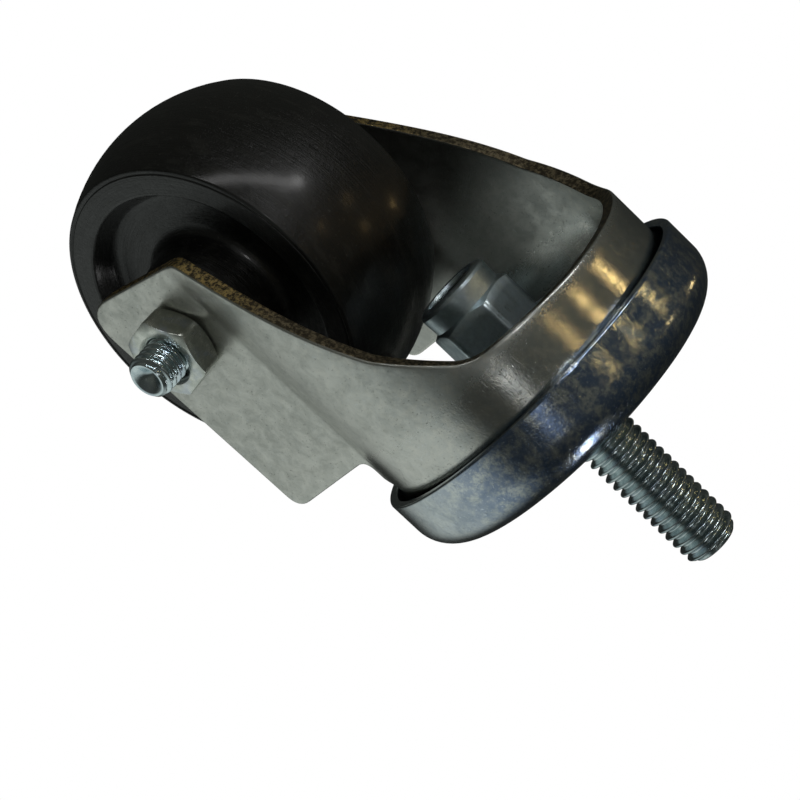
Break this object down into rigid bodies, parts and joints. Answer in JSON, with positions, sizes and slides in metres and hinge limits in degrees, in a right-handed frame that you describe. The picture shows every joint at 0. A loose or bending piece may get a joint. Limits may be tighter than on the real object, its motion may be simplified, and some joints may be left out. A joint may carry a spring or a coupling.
{
  "type": "swivel stem caster",
  "caption": "Swivel stem caster for a gate or truck: stamped zinc fork under a round race cup, threaded stem, and a wide black hard-rubber wheel.",
  "frame": {"origin": "on the swivel axis, where the threaded stem leaves the flat top of the race cup", "axes": "+Z along the stem, away from the wheel; the wheel trails towards -X; +Y along the axle towards its nut"},
  "size_m": [0.1117, 0.0785, 0.142],
  "materials": {
    "zinc_sheet": "bright zinc plate on stamped sheet, mottled, satin",
    "zinc_cup": "bright zinc plate with blue iridescence, semi-gloss",
    "zinc_hardware": "blue-clear zinc plate, semi-gloss",
    "hard_rubber": "moulded hard rubber with fine turned streaks, semi-matt",
    "bearing_steel": "polished steel balls with a film of grease",
    "bronze": "sintered bronze, dull",
    "nylon": "blue nylon locking insert"
  },
  "bodies": {
    "stem_side": {"king_bolt": "zinc_hardware", "race_cup": "zinc_cup", "lower_race": "zinc_hardware", "clamp_washer": "zinc_hardware", "king_nut": "zinc_hardware", "king_nut_insert": "nylon"},
    "fork_side": {"fork": "zinc_sheet", "axle_bolt": "zinc_hardware", "axle_nut": "zinc_hardware", "axle_sleeve": "zinc_hardware", "thrust_washer_nut_side": "zinc_hardware", "thrust_washer_head_side": "zinc_hardware"},
    "wheel_side": {"wheel": "hard_rubber", "wheel_bushing": "bronze"},
    "upper_balls": {"upper_ball_1": "bearing_steel", "upper_ball_2": "bearing_steel", "upper_ball_3": "bearing_steel", "upper_ball_4": "bearing_steel", "upper_ball_5": "bearing_steel", "upper_ball_6": "bearing_steel", "upper_ball_7": "bearing_steel", "upper_ball_8": "bearing_steel", "upper_ball_9": "bearing_steel", "upper_ball_10": "bearing_steel", "upper_ball_11": "bearing_steel", "upper_ball_12": "bearing_steel", "upper_ball_13": "bearing_steel", "upper_ball_14": "bearing_steel", "upper_ball_15": "bearing_steel", "upper_ball_16": "bearing_steel", "upper_ball_17": "bearing_steel", "upper_ball_18": "bearing_steel", "upper_ball_19": "bearing_steel", "upper_ball_20": "bearing_steel", "upper_ball_21": "bearing_steel"},
    "lower_balls": {"lower_ball_1": "bearing_steel", "lower_ball_2": "bearing_steel", "lower_ball_3": "bearing_steel", "lower_ball_4": "bearing_steel", "lower_ball_5": "bearing_steel", "lower_ball_6": "bearing_steel", "lower_ball_7": "bearing_steel", "lower_ball_8": "bearing_steel", "lower_ball_9": "bearing_steel", "lower_ball_10": "bearing_steel", "lower_ball_11": "bearing_steel", "lower_ball_12": "bearing_steel", "lower_ball_13": "bearing_steel", "lower_ball_14": "bearing_steel", "lower_ball_15": "bearing_steel", "lower_ball_16": "bearing_steel"}
  },
  "joints": [
    {"name": "swivel", "type": "hinge", "parent": "stem_side", "child": "fork_side", "pos_m": [0, 0, 0], "axis": [0, 0, 1], "continuous": true},
    {"name": "wheel_spin", "type": "hinge", "parent": "fork_side", "child": "wheel_side", "pos_m": [-0.0355, 0, -0.06637], "axis": [0, 1, 0], "continuous": true},
    {"name": "upper_ball_roll", "type": "hinge", "parent": "stem_side", "child": "upper_balls", "pos_m": [0, 0, 0], "axis": [0, 0, 1], "continuous": true},
    {"name": "lower_ball_roll", "type": "hinge", "parent": "stem_side", "child": "lower_balls", "pos_m": [0, 0, 0], "axis": [0, 0, 1], "continuous": true}
  ],
  "couplings": [
    {"joint": "upper_ball_roll", "follows": "swivel", "ratio": 0.5},
    {"joint": "lower_ball_roll", "follows": "swivel", "ratio": 0.5}
  ]
}
